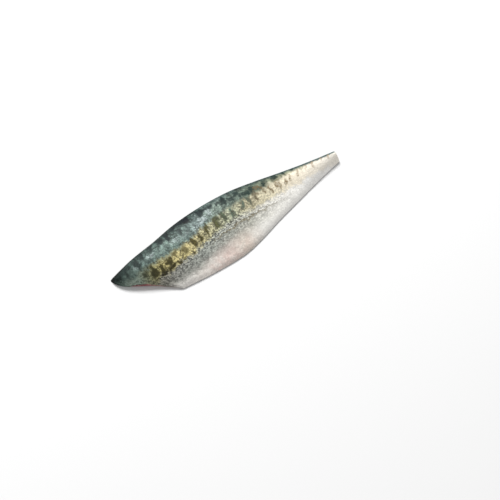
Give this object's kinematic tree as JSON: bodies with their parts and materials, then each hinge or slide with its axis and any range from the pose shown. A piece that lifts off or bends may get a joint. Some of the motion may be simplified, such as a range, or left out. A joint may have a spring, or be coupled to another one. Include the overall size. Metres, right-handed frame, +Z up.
{
  "type": "mackerel fillet",
  "caption": "Skin-on mackerel fillet lying skin side up on its flat cut face, with a slanting head cut, a domed back, a thin belly flap and a narrow tail.",
  "frame": {"origin": "middle of the footprint, at the level of the surface that the fillet lies on", "axes": "+X from the head cut to the tail, +Y from the belly edge to the back edge, +Z up out of the skin"},
  "size_m": [0.222, 0.0568, 0.0154],
  "materials": {
    "skin": "moist satin fish skin, dark blue-green back, gold-olive band and silver-white belly",
    "flesh": "moist pale pink raw meat with a dark red line along the middle"
  },
  "bodies": {
    "root": {"fillet": "skin"}
  },
  "joints": []
}
